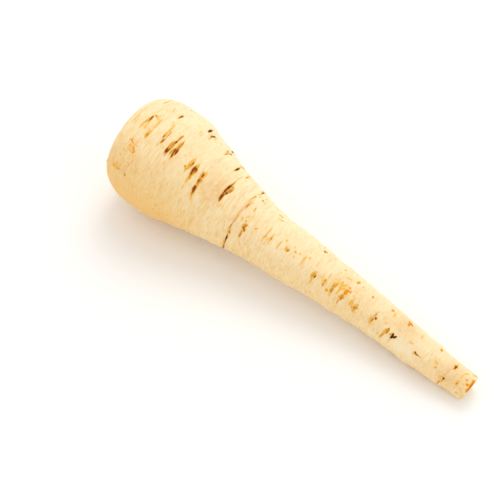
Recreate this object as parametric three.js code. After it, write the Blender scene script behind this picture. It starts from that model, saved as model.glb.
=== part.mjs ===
// A parsnip root lying on its side, trimmed at the crown and at the tip.
// Millimetres, +Z up. +X runs along the root from the crown to the tip, and the floor is z = 0.
// The skin is one closed surface of revolution, bent by a slight sideways curve and carved by a
// relief formula: rootlet scars, growth wrinkles, one long furrow and a groove by the tip.
import * as THREE from 'three';

// Driving dimensions. A station is a distance along the root, counted from the rim of the crown.
const TIP_STATION = 221.7;
const SHOULDER_STATION = 22;
const RIM_RADIUS = 16.5;
const SHOULDER_EXPONENT = 2.2;

// Flank of the root: [station, radius, sideways offset of the middle].
const FLANK = [
  [SHOULDER_STATION, 30.3, 1.7],
  [32, 29.7, 1.8],
  [40, 27.2, 1.5],
  [50, 25.0, 1.5],
  [60, 22.0, 0.8],
  [70, 19.7, 0.5],
  [85, 16.5, 0.2],
  [100, 15.0, 0.0],
  [115, 13.9, 0.6],
  [135, 12.1, 1.0],
  [150, 11.2, 1.2],
  [170, 9.9, 0.9],
  [185, 9.2, 0.1],
  [205, 7.8, -0.5],
  [TIP_STATION, 6.9, -0.6],
];

// Crown, from its middle out to the rim: cut leaf stalks in three rings, then a groove.
const CROWN = [
  [-0.9, 0],
  [-1.1, 2.8],
  [-0.2, 4.4],
  [-1.3, 6.2],
  [-1.3, 8.2],
  [-0.3, 9.6],
  [-1.4, 11.2],
  [-1.4, 12.8],
  [-0.5, 13.7],
  [1.5, 14.3],
  [1.9, 15.0],
  [1.0, 15.8],
];

// The two cuts and the way the root lies.
const STALK_LUMPS = 7;
const STALK_LUMP_HEIGHT = 0.35;
const TIP_EDGE_ROUND = 0.35;
const TIP_CUT_SLANT = -0.12;
const TIP_CUT_DEGREE = 95;
const TIP_CUT_START = 180;
const FLOOR_SINK = 0.8;
const STEEPEST_PITCH = 15;
const PITCH_HALVINGS = 40;

// Rootlet scars: [station, degree] where each begins and ends, then depth and half width.
// Degrees run round the root from +Y through +Z.
const SCARS = [
  [11.5, 109, 13.5, 91, 0.5, 1.2],
  [17.5, 114, 18.5, 91, 0.6, 1.1],
  [25.5, 112, 26, 91, 0.6, 1.2],
  [31.5, 117, 32.5, 95, 0.9, 1.2],
  [35, 117, 35, 92, 0.9, 1.3],
  [44, 116, 44.5, 102, 0.7, 1.2],
  [48, 127, 48, 100, 0.9, 1.5],
  [54, 134, 53, 101, 1.0, 1.3],
  [37.5, 57, 38, 47, 0.8, 1.1],
  [40, 61, 40.5, 50, 0.6, 1.1],
  [52, 60, 53, 45, 0.6, 1.1],
  [51, 42, 49.5, 33, 0.5, 1.0],
  [62, 67, 61.5, 42, 0.5, 1.0],
  [66.5, 117, 67, 76, 1.2, 1.3],
  [67, 107, 69, 91, 0.9, 1.1],
  [67.5, 60, 67.5, 36, 0.5, 1.1],
  [84.5, 148, 85, 102, 0.7, 1.3],
  [96, 130, 96, 105, 0.5, 1.0],
  [99, 130, 99, 103, 0.5, 1.0],
  [104, 131, 104, 108, 0.5, 1.1],
  [109.5, 122, 110, 110, 0.5, 1.2],
  [118.5, 128, 118.5, 105, 0.4, 1.0],
  [124, 70, 124, 57, 0.5, 1.1],
  [127.5, 147, 127.5, 112, 0.6, 1.1],
  [134, 140, 133.5, 118, 0.5, 1.0],
  [139, 147, 139, 104, 0.7, 1.2],
  [144.5, 151, 145.5, 104, 0.7, 1.2],
  [151.5, 143, 150.5, 119, 0.6, 1.3],
  [153.5, 148, 154, 122, 0.6, 1.2],
  [164, 145, 164, 107, 0.6, 1.2],
  [172, 160, 173.5, 122, 0.6, 1.2],
  [176.5, 152, 177, 122, 0.8, 1.3],
  [179.5, 78, 180, 55, 0.6, 1.1],
  [188.5, 86, 188.5, 68, 0.5, 1.1],
  [200, 78, 200, 52, 0.4, 1.1],
  [203, 136, 203, 121, 0.4, 1.1],
  [210, 104, 210.5, 68, 0.5, 1.1],
];

// Grooves that run far round the root, in the same form as the scars.
const FURROWS = [
  [79, 222, 79, 30, 0.9, 1.1],
  [63, 168, 63.5, 205, 0.4, 1.0],
  [207.5, 180, 210.5, 65, 0.5, 1.0],
];

// Two more rows of scars on the far side, at drawn stations, depths and spans.
const FAR_ROWS = [240, 300];
const FAR_ROW_FIRST = 15;
const FAR_ROW_LAST = 212;
const FAR_ROW_GAP = [6, 12];
const FAR_DRIFT = 6;
const FAR_SPAN = [16, 38];
const FAR_DEPTH = [0.4, 0.9];
const FAR_HALF_WIDTH = 1.2;
const SEED = 7;

// Low swellings: [station, degree, half length, half span, height].
const BULGES = [
  [78, 40, 4, 50, 0.4],
  [125, 35, 4, 50, 0.5],
  [198, 30, 4.5, 45, 0.6],
  [188, 208, 5, 45, 0.3],
  [203, 208, 5, 45, 0.6],
];

// Wrinkles round the root, deeper where the skin is folded: [station, half length] of each fold.
const FOLDS = [[72, 14], [142, 16]];
const WRINKLE_HEIGHT = 0.04;
const FOLD_HEIGHT = 0.08;
const WRINKLE_WAVE = 1.45;
const WRINKLE_TOP_DEGREE = 85;
const WRINKLE_LEAST_SHARE = 0.4;
const WRINKLE_BEND = 1.4;
const WRINKLE_BEND_TURN = 0.6;

// Slow waves along the root, and how far its section is from round. A bend shifts a wave as it goes
// round the root, by so many radians at most, and a bend's turn says where.
const SWELL_HEIGHT = 0.25;
const SWELL_WAVE = 0.21;
const SWELL_BEND = 0.8;
const SWELL_BEND_TURN = -0.4;
const SWELL_TWIST = 0.03;
const RING_HEIGHT = 0.08;
const RING_WAVE = 0.55;
const RING_BEND = 0.5;
const RING_BEND_TURN = 2.1;
const OVAL_SHARE = 0.018;
const OVAL_DEGREE = 28;

// A carved line keeps at least this half span, so that the columns of the skin catch it.
const LEAST_HALF_SPAN = 9;
const LIP_SHARE = 0.3;
const LIP_WIDENING = 2.6;

// Skin mesh.
const COLUMNS = 36;
const SHOULDER_ROWS = 9;
const FLANK_ROWS = 134;

const RAD = Math.PI / 180;

function mulberry(seed) {
  let state = seed;
  return () => {
    state = (state + 0x6d2b79f5) | 0;
    let mixed = Math.imul(state ^ (state >>> 15), 1 | state);
    mixed = (mixed + Math.imul(mixed ^ (mixed >>> 7), 61 | mixed)) ^ mixed;
    return ((mixed ^ (mixed >>> 14)) >>> 0) / 4294967296;
  };
}

// Smooth curve through a table's rows, read at x; `column` picks the value.
function splineAt(table, column, x) {
  const last = table.length - 1;
  const at = THREE.MathUtils.clamp(x, table[0][0], table[last][0]);
  let i = 0;
  while (i < last - 1 && at > table[i + 1][0]) i += 1;
  const slope = (k) => {
    const a = Math.max(k - 1, 0);
    const b = Math.min(k + 1, last);
    return (table[b][column] - table[a][column]) / (table[b][0] - table[a][0]);
  };
  const step = table[i + 1][0] - table[i][0];
  const t = (at - table[i][0]) / step;
  const t2 = t * t;
  const t3 = t2 * t;
  return (2 * t3 - 3 * t2 + 1) * table[i][column]
    + (t3 - 2 * t2 + t) * step * slope(i)
    + (3 * t2 - 2 * t3) * table[i + 1][column]
    + (t3 - t2) * step * slope(i + 1);
}

function farScars() {
  const draw = mulberry(SEED);
  const between = ([low, high]) => low + (high - low) * draw();
  const scars = [];
  for (const degree of FAR_ROWS) {
    let station = FAR_ROW_FIRST + between(FAR_ROW_GAP);
    while (station < FAR_ROW_LAST) {
      const middle = degree + between([-FAR_DRIFT, FAR_DRIFT]);
      const half = between(FAR_SPAN) / 2;
      scars.push([station, middle - half, station, middle + half, between(FAR_DEPTH), FAR_HALF_WIDTH]);
      station += between(FAR_ROW_GAP);
    }
  }
  return scars;
}

const GROOVES = [...SCARS, ...FURROWS, ...farScars()];

// Signed angle from a middle, in degrees.
function turned(degree, middle) {
  return THREE.MathUtils.euclideanModulo(degree - middle + 180, 360) - 180;
}

function bell(x) {
  return Math.exp(-x * x);
}

// Depth of one carved line with the raised lips beside it, at a station and degree.
function grooveHeight([s0, d0, s1, d1, depth, halfWidth], station, degree) {
  const middle = (d0 + d1) / 2;
  const halfSpan = Math.max(Math.abs(d1 - d0) / 2, LEAST_HALF_SPAN);
  const along = turned(degree, middle) / halfSpan;
  if (Math.abs(along) >= 1) return 0;
  const line = (s0 + s1) / 2 + ((s1 - s0) / 2) * along * Math.sign(d1 - d0);
  const lens = 1 - along * along;
  const width = (halfWidth * (1 + lens)) / 2;
  const across = (station - line) / width;
  const cut = bell(across);
  const lip = LIP_SHARE * bell(across / LIP_WIDENING);
  return depth * Math.sqrt(lens) * (lip - cut);
}

// Height of the skin over the plain form: wrinkles round the root, slow waves, swellings and grooves.
function relief(station, degree) {
  const a = degree * RAD;
  let folded = 0;
  for (const [middle, halfLength] of FOLDS) folded += bell((station - middle) / halfLength);
  const top = Math.max(0, Math.cos(a - WRINKLE_TOP_DEGREE * RAD));
  const share = WRINKLE_LEAST_SHARE + (1 - WRINKLE_LEAST_SHARE) * top;
  const turn = WRINKLE_BEND * Math.sin(a + WRINKLE_BEND_TURN) + Math.sin(2 * a);
  const wrinkle = share * (WRINKLE_HEIGHT + FOLD_HEIGHT * folded) * Math.sin(station * WRINKLE_WAVE + turn);
  const swell = SWELL_HEIGHT * Math.sin(station * SWELL_WAVE + SWELL_BEND * Math.sin(a + SWELL_BEND_TURN))
    * Math.sin(2 * a + station * SWELL_TWIST);
  const ring = RING_HEIGHT * Math.sin(station * RING_WAVE + RING_BEND * Math.sin(a + RING_BEND_TURN));
  let height = wrinkle + swell + ring;
  for (const [at, middle, halfLength, halfSpan, rise] of BULGES) {
    height += rise * bell((station - at) / halfLength) * bell(turned(degree, middle) / halfSpan);
  }
  for (const groove of GROOVES) height += grooveHeight(groove, station, degree);
  return height;
}

// The outline that is turned round the axis: {station, radius, kind} from crown middle to cut edge.
function outline() {
  const rows = CROWN.map(([station, radius]) => ({ station, radius, kind: 'crown' }));
  const rise = FLANK[0][1] - RIM_RADIUS;
  const power = 2 / SHOULDER_EXPONENT;
  for (let i = 0; i < SHOULDER_ROWS; i += 1) {
    const turn = (i / SHOULDER_ROWS) * (Math.PI / 2);
    const station = SHOULDER_STATION * (1 - Math.cos(turn) ** power);
    rows.push({ station, radius: RIM_RADIUS + rise * Math.sin(turn) ** power, kind: 'skin' });
  }
  for (let i = 0; i <= FLANK_ROWS; i += 1) {
    const station = THREE.MathUtils.lerp(SHOULDER_STATION, TIP_STATION - TIP_EDGE_ROUND, i / FLANK_ROWS);
    rows.push({ station, radius: splineAt(FLANK, 1, station), kind: 'skin' });
  }
  const edge = rows[rows.length - 1].radius - TIP_EDGE_ROUND;
  rows.push({ station: TIP_STATION, radius: edge, kind: 'cut' });
  rows.push({ station: TIP_STATION, radius: edge / 2, kind: 'cut' });
  rows.push({ station: TIP_STATION, radius: 0, kind: 'cut' });
  return rows;
}

// Outward direction of the outline at a row, as [along the root, away from the axis].
function outwardAt(rows, i) {
  const before = rows[Math.max(i - 1, 0)];
  const after = rows[Math.min(i + 1, rows.length - 1)];
  const along = after.station - before.station;
  const away = after.radius - before.radius;
  const length = Math.hypot(along, away);
  return [-away / length, along / length];
}

// One point of the surface, before the root is laid down: x along the axis, y and z across it.
function skinPoint(rows, i, degree) {
  const { station, radius, kind } = rows[i];
  const a = degree * RAD;
  let x = station;
  let r = radius * (1 + OVAL_SHARE * Math.sin(2 * (a - OVAL_DEGREE * RAD)));
  if (kind === 'skin') {
    const height = relief(station, degree);
    const [outX, outR] = outwardAt(rows, i);
    x += height * outX;
    r += height * outR;
  }
  if (kind === 'crown') x -= STALK_LUMP_HEIGHT * (radius / RIM_RADIUS) * Math.sin(STALK_LUMPS * a + radius);
  const slant = Math.max(0, (station - TIP_CUT_START) / (TIP_STATION - TIP_CUT_START)) ** 2;
  x -= TIP_CUT_SLANT * slant * r * Math.cos(a - TIP_CUT_DEGREE * RAD);
  return new THREE.Vector3(x, splineAt(FLANK, 2, station) + r * Math.cos(a), r * Math.sin(a));
}

function surfacePoints() {
  const rows = outline();
  const points = [];
  rows.forEach((row, i) => {
    const count = row.radius === 0 ? 1 : COLUMNS;
    for (let j = 0; j < count; j += 1) points.push(skinPoint(rows, i, (j * 360) / COLUMNS));
  });
  return points;
}

function lowest(points, pitch, fromX, toX) {
  let z = Infinity;
  for (const p of points) {
    if (p.x >= fromX && p.x <= toX) z = Math.min(z, p.z * Math.cos(pitch) - p.x * Math.sin(pitch));
  }
  return z;
}

// The root tips forward until its shoulder and its tip touch the floor together.
function restingPitch(points) {
  const half = TIP_STATION / 2;
  let low = 0;
  let high = STEEPEST_PITCH * RAD;
  for (let i = 0; i < PITCH_HALVINGS; i += 1) {
    const pitch = (low + high) / 2;
    if (lowest(points, pitch, half, 2 * half) < lowest(points, pitch, -half, half)) high = pitch;
    else low = pitch;
  }
  return (low + high) / 2;
}

// Lays the points on the floor, flattens what would sink into it, and centres the box on the Z axis.
function layDown(points) {
  const pitch = restingPitch(points);
  for (const p of points) p.applyAxisAngle(new THREE.Vector3(0, 1, 0), pitch);
  const floor = Math.min(...points.map((p) => p.z)) + FLOOR_SINK;
  for (const p of points) p.z = Math.max(0, p.z - floor);
  const box = new THREE.Box3().setFromPoints(points);
  const middle = box.getCenter(new THREE.Vector3());
  for (const p of points) {
    p.x -= middle.x;
    p.y -= middle.y;
  }
  return points;
}

// Triangles: a fan at the crown's middle, bands between rows, and a fan at the middle of the cut.
function surfaceIndex(pointCount) {
  const bands = (pointCount - 2) / COLUMNS - 1;
  const index = [];
  for (let j = 0; j < COLUMNS; j += 1) {
    const k = (j + 1) % COLUMNS;
    index.push(0, 1 + k, 1 + j);
    for (let i = 0; i < bands; i += 1) {
      const a = 1 + i * COLUMNS + j;
      const b = 1 + i * COLUMNS + k;
      index.push(a, b, b + COLUMNS, a, b + COLUMNS, a + COLUMNS);
    }
    const last = 1 + bands * COLUMNS;
    index.push(last + j, last + k, pointCount - 1);
  }
  return index;
}

function parsnipGeometry() {
  const points = layDown(surfacePoints());
  const geometry = new THREE.BufferGeometry().setFromPoints(points);
  geometry.setIndex(surfaceIndex(points.length));
  geometry.computeVertexNormals();
  return geometry;
}

const skin = new THREE.MeshStandardMaterial({ color: 0xf2dcae, roughness: 0.6, metalness: 0 });
const root = new THREE.Mesh(parsnipGeometry(), skin);
root.name = 'parsnip_root';

const parsnip = new THREE.Group();
parsnip.add(root);

export default parsnip;
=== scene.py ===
"""A parsnip root on a pale floor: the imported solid's form, with its skin, scars and colours."""
import math

import bpy
import numpy as np
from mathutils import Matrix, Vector


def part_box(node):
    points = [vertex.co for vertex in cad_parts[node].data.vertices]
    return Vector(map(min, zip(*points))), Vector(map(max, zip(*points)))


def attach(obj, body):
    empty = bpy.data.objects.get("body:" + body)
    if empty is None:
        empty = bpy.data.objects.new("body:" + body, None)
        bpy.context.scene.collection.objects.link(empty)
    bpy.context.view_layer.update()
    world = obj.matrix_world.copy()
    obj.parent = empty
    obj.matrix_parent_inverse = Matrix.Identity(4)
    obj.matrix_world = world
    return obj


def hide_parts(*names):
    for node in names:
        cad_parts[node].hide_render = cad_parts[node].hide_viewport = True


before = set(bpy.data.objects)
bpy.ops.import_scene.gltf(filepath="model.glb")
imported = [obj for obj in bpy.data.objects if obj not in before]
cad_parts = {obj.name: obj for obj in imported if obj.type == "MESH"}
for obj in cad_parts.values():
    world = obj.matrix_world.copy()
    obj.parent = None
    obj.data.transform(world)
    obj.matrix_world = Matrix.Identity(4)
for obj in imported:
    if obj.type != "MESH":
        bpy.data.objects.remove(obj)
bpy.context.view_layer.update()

MM = 0.001

# ---------------------------------------------------------------- form, in millimetres
# A station is a distance along the root, counted from the rim of the crown.
TIP_STATION = 221.7
SHOULDER_STATION = 22.0
RIM_RADIUS = 16.5
SHOULDER_EXPONENT = 2.2

# [station, radius, sideways offset of the middle]
FLANK = np.array([
    [SHOULDER_STATION, 30.3, 1.7],
    [32, 29.7, 1.8],
    [40, 27.2, 1.5],
    [50, 25.0, 1.5],
    [60, 22.0, 0.8],
    [70, 19.7, 0.5],
    [85, 16.5, 0.2],
    [100, 15.0, 0.0],
    [115, 13.9, 0.6],
    [135, 12.1, 1.0],
    [150, 11.2, 1.2],
    [170, 9.9, 0.9],
    [185, 9.2, 0.1],
    [205, 7.8, -0.5],
    [TIP_STATION, 6.9, -0.6],
])

# Crown, from its middle out to the rim: [station, radius].
CROWN = np.array([
    [-0.9, 0], [-1.1, 2.8], [-0.2, 4.4], [-1.3, 6.2], [-1.3, 8.2],
    [-0.3, 9.6], [-1.4, 11.2], [-1.4, 12.8], [-0.5, 13.7], [1.5, 14.3],
    [1.9, 15.0], [1.0, 15.8], [0.0, RIM_RADIUS],
])

STALK_LUMPS = 7
STALK_LUMP_HEIGHT = 0.35
TIP_EDGE_ROUND = 0.35
TIP_CUT_SLANT = -0.12
TIP_CUT_DEGREE = 95
TIP_CUT_START = 180
FLOOR_SINK = 0.8
STEEPEST_PITCH = 15
PITCH_HALVINGS = 30

# Carved lines: station and degree where each begins and ends, then depth and half width.
SCARS = [
    (11.5, 109, 13.5, 91, 0.5, 1.2), (17.5, 114, 18.5, 91, 0.6, 1.1), (25.5, 112, 26, 91, 0.6, 1.2),
    (31.5, 117, 32.5, 95, 0.9, 1.2), (35, 117, 35, 92, 0.9, 1.3), (44, 116, 44.5, 102, 0.7, 1.2),
    (48, 127, 48, 100, 0.9, 1.5), (54, 134, 53, 101, 1.0, 1.3), (37.5, 57, 38, 47, 0.8, 1.1),
    (40, 61, 40.5, 50, 0.6, 1.1), (52, 60, 53, 45, 0.6, 1.1), (51, 42, 49.5, 33, 0.5, 1.0),
    (62, 67, 61.5, 42, 0.5, 1.0), (66.5, 117, 67, 76, 1.2, 1.3), (67, 107, 69, 91, 0.9, 1.1),
    (67.5, 60, 67.5, 36, 0.5, 1.1), (84.5, 148, 85, 102, 0.7, 1.3), (96, 130, 96, 105, 0.5, 1.0),
    (99, 130, 99, 103, 0.5, 1.0), (104, 131, 104, 108, 0.5, 1.1), (109.5, 122, 110, 110, 0.5, 1.2),
    (118.5, 128, 118.5, 105, 0.4, 1.0), (124, 70, 124, 57, 0.5, 1.1), (127.5, 147, 127.5, 112, 0.6, 1.1),
    (134, 140, 133.5, 118, 0.5, 1.0), (139, 147, 139, 104, 0.7, 1.2), (144.5, 151, 145.5, 104, 0.7, 1.2),
    (151.5, 143, 150.5, 119, 0.6, 1.3), (153.5, 148, 154, 122, 0.6, 1.2), (164, 145, 164, 107, 0.6, 1.2),
    (172, 160, 173.5, 122, 0.6, 1.2), (176.5, 152, 177, 122, 0.8, 1.3), (179.5, 78, 180, 55, 0.6, 1.1),
    (188.5, 86, 188.5, 68, 0.5, 1.1), (200, 78, 200, 52, 0.4, 1.1), (203, 136, 203, 121, 0.4, 1.1),
    (210, 104, 210.5, 68, 0.5, 1.1),
]
FURROWS = [
    (79, 222, 79, 30, 0.9, 1.1),
    (63, 168, 63.5, 205, 0.4, 1.0),
    (207.5, 180, 210.5, 65, 0.5, 1.0),
]
FAR_ROWS = (240, 300)
FAR_ROW_FIRST = 15
FAR_ROW_LAST = 212
FAR_ROW_GAP = (6, 12)
FAR_DRIFT = 6
FAR_SPAN = (16, 38)
FAR_DEPTH = (0.4, 0.9)
FAR_HALF_WIDTH = 1.2
FAR_SEED = 7
FAR_TURNED_SHARE = 0.4
FAR_SLANT = 0.4
# Tints of a scar on the far side: where each begins and ends, in shares of the scar's span, its share of the
# scar's slant, its half width, what a millimetre of depth adds to that, and the least depth that has it.
FAR_TINTS = (
    ("gold", 0, 1, 1, 0.5, 0, 0),
    ("rust", 0.05, 0.8, 0.6, 0.4, 0.5, 0),
    ("brown", 0.12, 0.5, 0, 0.15, 0.45, 0),
    ("black", 0.15, 0.35, 0, 0.45, 0, 0.75),
)

# Low swellings: station, degree, half length, half span, height.
BULGES = [
    (78, 40, 4, 50, 0.4),
    (125, 35, 4, 50, 0.5),
    (198, 30, 4.5, 45, 0.6),
    (188, 208, 5, 45, 0.3),
    (203, 208, 5, 45, 0.6),
]

# Wrinkles round the root, deeper in the folds: station and half length of each fold.
FOLDS = [(72, 14), (142, 16)]
WRINKLE_HEIGHT = 0.04
FOLD_HEIGHT = 0.08
WRINKLE_WAVE = 1.45
WRINKLE_TOP_DEGREE = 85
WRINKLE_LEAST_SHARE = 0.4
WRINKLE_BEND = 1.4
WRINKLE_BEND_TURN = 0.6
# Slow waves along the root, and how far its section is from round.
SWELL_HEIGHT = 0.25
SWELL_WAVE = 0.21
SWELL_BEND = 0.8
SWELL_BEND_TURN = -0.4
SWELL_TWIST = 0.03
RING_HEIGHT = 0.08
RING_WAVE = 0.55
RING_BEND = 0.5
RING_BEND_TURN = 2.1
OVAL_SHARE = 0.018
OVAL_DEGREE = 28

# The least half span of a carved line, and how high and wide its lips are beside its cut.
LEAST_HALF_SPAN = 9
LIP_SHARE = 0.3
LIP_WIDENING = 2.6

# ---------------------------------------------------------------- marks of the skin
# What is read off the photograph is given in its pixels: how far along the line from the crown to
# the tip, and how far to its upper side.
LINE_FROM = (120, 130)
LINE_TO = (469, 389)
# Strokes by tint: along and across at the broad end, the same at the fading end, in pixels, then the half
# width in millimetres.
BLACK_MARKS = [
    (40.1, 15.6, 39.8, 14, 0.2), (49.7, 12, 50.2, 9.2, 0.2), (73.8, 53.6, 72.4, 51, 0.8),
    (80, 51.3, 77.8, 48.8, 0.55), (103.9, 49.9, 103.3, 48.9, 0.55), (118.2, 39, 117.2, 37, 0.25),
    (122.3, 21.3, 120.9, 15, 0.3), (123.4, 13, 122.9, 11.6, 0.2), (129.6, -38.9, 130.2, -38.6, 0.4),
    (149, -19.5, 150.6, -26.5, 0.15), (340.8, -5.2, 345.6, -1.2, 0.6), (341, -0.8, 341.8, -3, 0.45),
    (407.8, -6.2, 407.4, -7.4, 0.45),
]
BROWN_MARKS = [
    (18.6, 31.5, 16.6, 22.5, 0.4), (24.6, 14.4, 24, 10.4, 0.5), (24.7, 18, 24.3, 16.8, 0.45),
    (28.9, -32.1, 30.9, -33.4, 0.35), (40.8, 19.2, 39.8, 14, 0.4), (42.2, 49.3, 39.4, 43.4, 0.4),
    (50, 13.8, 50.3, 7.8, 0.6), (51.4, 16, 51, 10.5, 0.25), (52.9, 24.8, 52.2, 21.5, 0.4),
    (56.2, 18.5, 56, 12.6, 0.4), (56.5, 12.5, 57.2, 8.5, 0.4), (58.4, 20, 58.3, 12.5, 0.45),
    (73.2, 53.4, 75.2, 54.8, 0.4), (73.8, 10.4, 73.7, 9.2, 0.45), (78.8, 18.5, 78.3, 14.5, 0.2),
    (80.3, 51.6, 77, 48.6, 0.6), (82.4, 9, 83.2, 6.8, 0.45), (82.6, 13.8, 82.2, 8.2, 0.45),
    (83.2, 14.6, 85.6, 13.4, 0.5), (84.6, 10.2, 85.1, 9.6, 0.25), (85.8, 14.2, 85.9, 10.4, 0.3),
    (93.5, 8.4, 93.3, 3.8, 0.45), (93.8, 14.8, 93.7, 9.8, 0.35), (94.2, 0.2, 95.3, -6.8, 0.65),
    (95.7, 8.8, 95.2, 6.8, 0.4), (104.4, 46.4, 102.6, 46.6, 0.5), (119, 40.6, 116.6, 35.4, 0.45),
    (120.9, 15, 121, 11.5, 0.45), (121, 42.6, 122.8, 43, 0.35), (121.2, 11.5, 121.6, 1.5, 0.55),
    (122.8, 23.5, 120.8, 14.5, 0.4), (123.9, 13.5, 122.9, 10.8, 0.4), (140.6, 39, 142.6, 39.8, 0.35),
    (148.8, -16, 148.6, -18, 0.45), (148.9, -18, 151.3, -29.5, 0.3), (153.8, -33.5, 152, -29, 0.3),
    (153.8, 35.2, 151.8, 33, 0.45), (156.9, -4, 156.8, -5.6, 0.25), (157.9, -8.6, 158.1, -9.4, 0.25),
    (158.6, -5, 160, -7.6, 0.45), (158.7, -1, 158.8, -2.5, 0.2), (207.4, 4.4, 206.6, 2, 0.3),
    (243.9, -0.6, 243.6, -2.6, 0.25), (265, 3.4, 265.2, 1.6, 0.25), (265.6, 0, 265.7, -1.2, 0.25),
    (266.2, -2.6, 266, -3.6, 0.25), (278.6, -0.6, 278, -4.6, 0.3), (291.5, -3.6, 291.4, -4.8, 0.2),
    (296.8, -1.6, 296.8, -2.2, 0.2), (315.9, 4, 315.7, 2.4, 0.15), (317.8, 1, 318.6, 0.9, 0.4),
    (338.6, -2.6, 338.6, -3.4, 0.25), (349.6, 17.7, 351.8, 16.8, 0.25), (368.6, -2.2, 371, -3.8, 0.3),
    (371, -3.8, 374.4, -3.6, 0.2), (411.2, 11, 411.4, 7.4, 0.55),
]
RUST_MARKS = [
    (13.4, -30.8, 17.8, -33, 0.45), (13.8, 17.4, 13.6, 16.2, 0.35), (14.8, -18.9, 15.9, -19.9, 0.35),
    (15, -0.4, 15.1, -1.2, 0.2), (16.5, -9.6, 17.2, -10.3, 0.3), (16.8, 25, 14.2, 19, 0.55),
    (18, -33, 22.8, -31.5, 0.4), (19, 18.5, 18.6, 13.5, 0.25), (20.4, 33.2, 19.6, 33.6, 0.3),
    (20.7, -1.3, 21.2, -1.9, 0.4), (23.9, -9.6, 23.6, -10.8, 0.3), (24.4, 30.2, 24.2, 29.4, 0.3),
    (25.5, 17.8, 26, 16.6, 0.5), (25.6, 22.8, 25.2, 21.8, 0.45), (28.2, -16.8, 27.4, -17.8, 0.35),
    (39.4, 23, 39, 19.4, 0.35), (42.5, 30, 41.8, 19.5, 0.2), (47.5, 58.5, 44.8, 57.4, 0.3),
    (49.9, 22, 49.2, 13.5, 0.35), (50.2, 9, 50.1, 5.8, 0.45), (51.8, 19.5, 50.9, 13, 0.4),
    (52.3, 22.5, 51.3, 14.5, 0.45), (54.1, 17, 53.9, 9.5, 0.15), (54.5, 33, 52.8, 24, 0.35),
    (56, 15, 57.2, 7.5, 0.7), (58.8, 28, 58.3, 18.5, 0.5), (76.2, 15, 76.6, 9, 0.35),
    (76.4, 46, 75.8, 45.6, 0.35), (77, 9.6, 77.6, 8.6, 0.35), (78.5, 47.8, 77, 46.5, 0.3),
    (78.8, 19.5, 78.2, 12, 0.45), (83, 15.5, 83.4, 4, 1), (83.6, 2.2, 85.2, 1.6, 0.4),
    (84.9, 18.4, 84.8, 16.8, 0.35), (86, 14.6, 85.6, 6, 0.5), (92, 16, 91.6, 9, 0.2),
    (94, 16, 93.6, 10, 0.5), (94.2, 0.5, 96.3, -10.5, 0.75), (95.2, 9, 95, 3.4, 0.6),
    (99.6, 48, 98.8, 47.2, 0.35), (103, 46.8, 98, 42, 0.5), (118.6, 42.6, 120.5, 42.4, 0.35),
    (124, 26, 121.5, 20, 0.4), (126, 18.5, 122.6, 10.5, 0.5), (131.5, 39, 129.5, 36, 0.3),
    (134.5, 40.3, 136.6, 40.2, 0.35), (145.8, -1, 145.7, -7, 0.15), (145.9, -9, 146.1, -15, 0.2),
    (148.3, 18.5, 147.6, 12.5, 0.3), (148.8, -13.4, 148.6, -15.4, 0.3), (148.9, 27.6, 148.3, 25.6, 0.35),
    (151.3, -29, 153.6, -33.5, 0.25), (156, 18.4, 156.2, 14, 0.2), (156.9, 28.8, 156.4, 27.8, 0.45),
    (157, -0.5, 156.8, -6, 0.45), (157.6, -8, 159, -15, 0.4), (158.6, 0.5, 158.8, -5, 0.4),
    (180.5, 3.5, 180.2, 0, 0.3), (180.5, 27, 182.5, 26.6, 0.2), (182.5, 1, 183.5, -6, 0.2),
    (195.8, 1, 195.9, -4, 0.15), (204.8, 4.6, 206, 1.4, 0.4), (224.8, 1.6, 224.6, 0.2, 0.15),
    (236.3, 25, 239, 24.5, 0.5), (241, 1.5, 241.5, -4, 0.4), (255.3, -2, 255.3, -4.5, 0.25),
    (265, 4, 265.4, -1, 0.45), (265.4, 22, 264.4, 21.7, 0.3), (265.6, -1.5, 266.2, -4.5, 0.6),
    (276.2, -6, 277.4, -10.8, 0.3), (278.4, 0.4, 277.8, -5.4, 0.55), (278.4, 4.4, 277.6, 1.4, 0.35),
    (289.8, -0.5, 291.4, -1.2, 0.4), (291.6, -2.2, 291.4, -5.6, 0.4), (294.3, -2, 295.6, -5, 0.5),
    (294.6, -5.8, 295, -7.2, 0.35), (296.6, -1, 296.8, -3, 0.4), (303, 15.8, 303.3, 17.6, 0.55),
    (316, -0.6, 315.6, -4, 0.35), (316, 6, 315.7, 2, 0.35), (332.6, -6.6, 332, -10.6, 0.35),
    (334.5, 0.4, 334.5, -4.4, 0.85), (340, -0.4, 341.4, -5.4, 0.6), (348.3, 14.4, 348.2, 16.4, 0.45),
    (373.6, -3.7, 376.4, -3.6, 0.2), (395, -2.2, 395.4, -3, 0.4), (407.2, -8, 405, -15, 0.3),
    (411.2, 10.2, 411.5, 5.2, 0.55), (421.6, -2.9, 421.9, -4.1, 0.35), (428.3, 5.8, 427.5, 5.2, 0.3),
    (430.8, 2.4, 430, 2.2, 0.2), (434.4, 7.4, 434, 3.6, 0.45), (434.4, 8.2, 434.4, 3.2, 0.5),
    (434.6, 0.4, 434, -4.2, 0.35), (434.8, 2.4, 434.3, -3.4, 0.2),
]
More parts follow.
